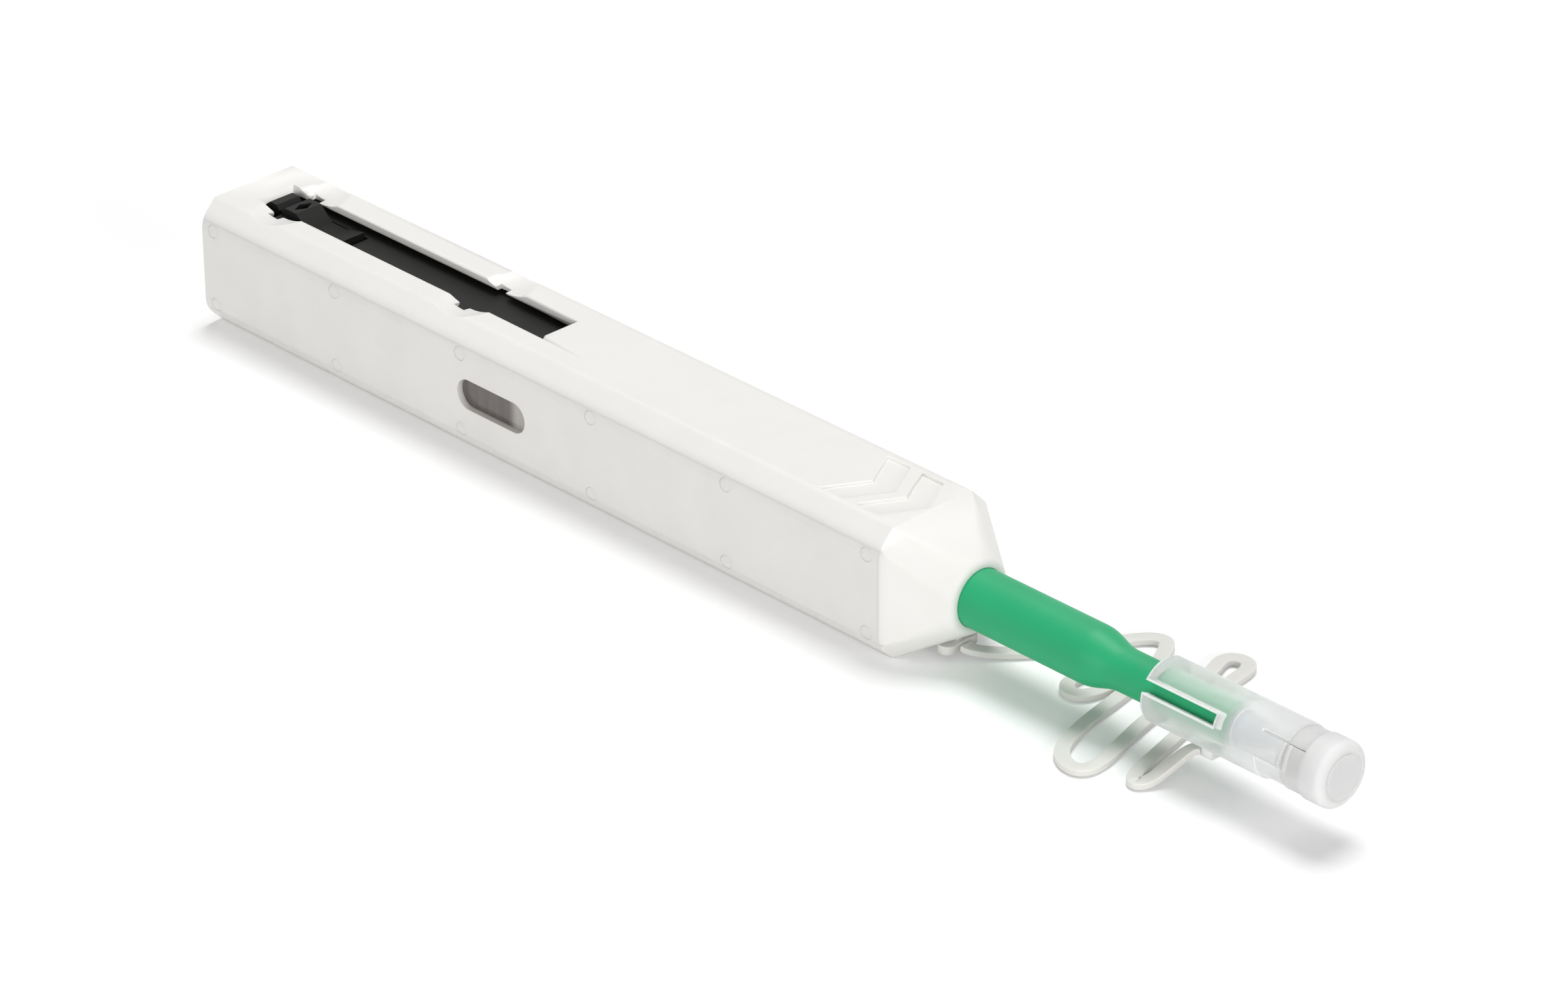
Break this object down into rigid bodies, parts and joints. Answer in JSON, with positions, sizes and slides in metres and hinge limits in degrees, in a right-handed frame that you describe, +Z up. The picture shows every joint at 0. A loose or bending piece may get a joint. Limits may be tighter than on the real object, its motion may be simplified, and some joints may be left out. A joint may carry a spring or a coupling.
{
  "type": "fibre optic cleaning pen",
  "caption": "Push-to-clean pen for 2.5 mm fibre ferrules: flat-sided white case, sliding carriage with latch, green nozzle, tethered cap with a hinged lid",
  "frame": {"origin": "middle of the case's flat underside, on the plane that the pen lies on", "axes": "+X along the pen towards the nozzle, +Z up through the slotted side, -Y out through the cover with the window"},
  "size_m": [0.1912, 0.0343, 0.0177],
  "materials": {
    "case_white": "moulded ABS, fine satin",
    "pin_white": "moulded ABS, satin",
    "lens_clear": "clear polycarbonate",
    "tether_natural": "natural polypropylene, milky",
    "carriage_black": "moulded black ABS, satin",
    "latch_black": "moulded black acetal, spark-eroded grain",
    "screw_steel": "zinc plated",
    "axle_steel": "ground steel",
    "reel_grey": "moulded acetal",
    "thread_white": "microfibre yarn",
    "gear_ivory": "moulded acetal, natural",
    "nozzle_green": "moulded ABS, semi gloss",
    "slider_black": "moulded acetal",
    "spring_steel": "drawn spring wire",
    "tip_blue_grey": "moulded acetal, blue grey",
    "cap_natural": "natural polypropylene, milky"
  },
  "bodies": {
    "case": {"case_body": "case_white", "case_cover": "case_white", "cover_pins": "pin_white", "window_lens": "lens_clear", "tether_tab": "tether_natural", "tether_strap": "tether_natural"},
    "carriage": {"carriage_frame": "carriage_black", "carriage_plate": "carriage_black", "plate_screws": "screw_steel", "reel_axles": "axle_steel"},
    "latch": {"latch_arm": "latch_black"},
    "supply": {"supply_reel": "reel_grey", "supply_thread": "thread_white"},
    "takeup": {"takeup_reel": "reel_grey", "takeup_thread": "thread_white", "takeup_gear": "gear_ivory"},
    "nozzle": {"nozzle_tube": "nozzle_green", "nozzle_slider": "slider_black", "drive_rack": "gear_ivory", "return_spring": "spring_steel", "tip_sleeve": "tip_blue_grey", "feed_thread": "thread_white"},
    "tip": {"tip_shaft": "tip_blue_grey", "tip_thread": "thread_white"},
    "cap": {"cap_body": "cap_natural"},
    "lid": {"cap_lid": "cap_natural"}
  },
  "joints": [
    {"name": "carriage_slide", "type": "slide", "parent": "case", "child": "carriage", "axis": [1, 0, 0], "range_m": [0, 0.0365], "deforming": ["tether_strap"]},
    {"name": "latch_press", "type": "hinge", "parent": "carriage", "child": "latch", "pos_m": [-0.04405, 0, 0.0144], "axis": [0, -1, 0], "range_deg": [0, 6], "stiffness_Nm_per_rad": 0.07, "springref_deg": -5.73},
    {"name": "nozzle_push", "type": "slide", "parent": "carriage", "child": "nozzle", "axis": [-1, 0, 0], "range_m": [0, 0.007], "stiffness_N_per_m": 250, "springref_m": -0.005, "deforming": ["return_spring", "tether_strap", "feed_thread"]},
    {"name": "takeup_spin", "type": "hinge", "parent": "carriage", "child": "takeup", "pos_m": [-0.02888, 0, 0.00865], "axis": [0, 1, 0], "range_deg": [0, 101]},
    {"name": "supply_spin", "type": "hinge", "parent": "carriage", "child": "supply", "pos_m": [-0.00635, 0, 0.00865], "axis": [0, 1, 0], "range_deg": [0, 63]},
    {"name": "tip_spin", "type": "hinge", "parent": "nozzle", "child": "tip", "pos_m": [0.10225, 0, 0.00885], "axis": [1, 0, 0], "range_deg": [0, 181]},
    {"name": "cap_pull", "type": "slide", "parent": "nozzle", "child": "cap", "axis": [1, 0, 0], "range_m": [0, 0.025], "deforming": ["tether_strap"]},
    {"name": "lid_flip", "type": "hinge", "parent": "cap", "child": "lid", "pos_m": [0.1226, -0.00381, 0.01063], "axis": [0, -0.4226, -0.9063], "range_deg": [0, 110]}
  ],
  "couplings": [
    {"joint": "takeup_spin", "follows": "nozzle_push", "rad_per_m": 250},
    {"joint": "supply_spin", "follows": "nozzle_push", "rad_per_m": 154.8},
    {"joint": "tip_spin", "follows": "nozzle_push", "rad_per_m": 448.8}
  ]
}
